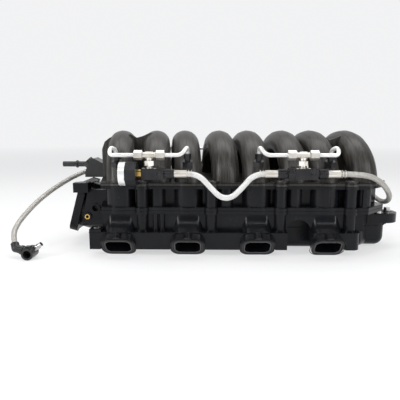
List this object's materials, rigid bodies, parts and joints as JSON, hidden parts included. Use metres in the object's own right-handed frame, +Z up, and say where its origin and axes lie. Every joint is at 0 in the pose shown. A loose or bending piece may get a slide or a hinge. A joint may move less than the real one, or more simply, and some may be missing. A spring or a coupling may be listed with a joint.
{
  "type": "intake manifold",
  "caption": "Moulded V-engine intake manifold with crossing runners and outward ports, plumbed with a nozzle rail kit: tees, hard lines, braided hoses, gauge and quick connector.",
  "frame": {"origin": "middle of the footprint, on the floor that the port collars stand on", "axes": "+X along the engine away from the throttle, -Y towards the near bank, +Z up"},
  "size_m": [0.661, 0.2782, 0.2025],
  "materials": {
    "shell_plastic": "moulded",
    "runner_plastic": "moulded",
    "cap_plastic": "satin",
    "seal_rubber": "smooth",
    "plated_steel": "zinc plated",
    "polished_steel": "polished",
    "brass": "turned",
    "bright_fitting": "bright",
    "bright_line": "bright",
    "black_fitting": "black anodised",
    "white_braid": "fine braid",
    "grey_braid": "fine braid",
    "clear_lens": "clear",
    "dial_white": "printed",
    "pointer_black": "smooth"
  },
  "bodies": {
    "manifold": {"upper_shell": "runner_plastic", "middle_shell": "shell_plastic", "lower_shell": "shell_plastic", "throttle_neck": "shell_plastic", "port_seals_near": "seal_rubber", "port_seals_far": "seal_rubber", "throttle_seal": "seal_rubber", "vacuum_seal": "seal_rubber", "bolt_sleeves": "plated_steel", "ear_bolts": "plated_steel", "throttle_inserts": "brass", "bracket_insert": "brass", "vacuum_cap": "cap_plastic", "vacuum_elbow": "cap_plastic", "tee_nuts": "bright_fitting", "nozzle_nuts": "black_fitting", "block_plugs": "bright_fitting", "hose_collars": "bright_fitting", "hard_lines_far": "bright_line", "hose_ends_near": "black_fitting", "hose_ends_far": "black_fitting", "gauge_case": "black_fitting", "gauge_bezel": "polished_steel", "gauge_lens": "clear_lens", "gauge_dial": "dial_white", "gauge_stem": "brass", "centre_hose_near": "white_braid", "centre_hose_far": "white_braid", "crossover_hose": "grey_braid", "feed_hose": "grey_braid", "connector_body": "cap_plastic", "connector_stub": "plated_steel", "tee_1": "bright_fitting", "tee_adapter_1": "bright_fitting", "rail_block_1": "black_fitting", "hard_line_1": "bright_line", "tee_2": "bright_fitting", "tee_adapter_2": "bright_fitting", "rail_block_2": "black_fitting", "hard_line_2": "bright_line", "tee_3": "bright_fitting", "tee_adapter_3": "bright_fitting", "rail_block_3": "black_fitting", "hard_line_3": "bright_line", "tee_4": "bright_fitting", "tee_adapter_4": "bright_fitting", "rail_block_4": "black_fitting", "hard_line_4": "bright_line", "nozzle_1": "black_fitting", "nozzle_2": "black_fitting", "nozzle_3": "black_fitting", "nozzle_4": "black_fitting", "nozzle_5": "black_fitting", "nozzle_6": "black_fitting", "nozzle_7": "black_fitting", "nozzle_8": "black_fitting"},
    "pointer": {"gauge_pointer": "pointer_black"},
    "release_button": {"connector_button": "cap_plastic"}
  },
  "joints": [
    {"name": "pointer_sweep", "type": "hinge", "parent": "manifold", "child": "pointer", "pos_m": [-0.1634, -0.1206, 0.136], "axis": [1, 0, 0], "range_deg": [0, 270], "stiffness_Nm_per_rad": 0.0005},
    {"name": "release_button_press", "type": "slide", "parent": "manifold", "child": "release_button", "axis": [0, 0, -1], "range_m": [0, 0.0018], "stiffness_N_per_m": 500}
  ]
}
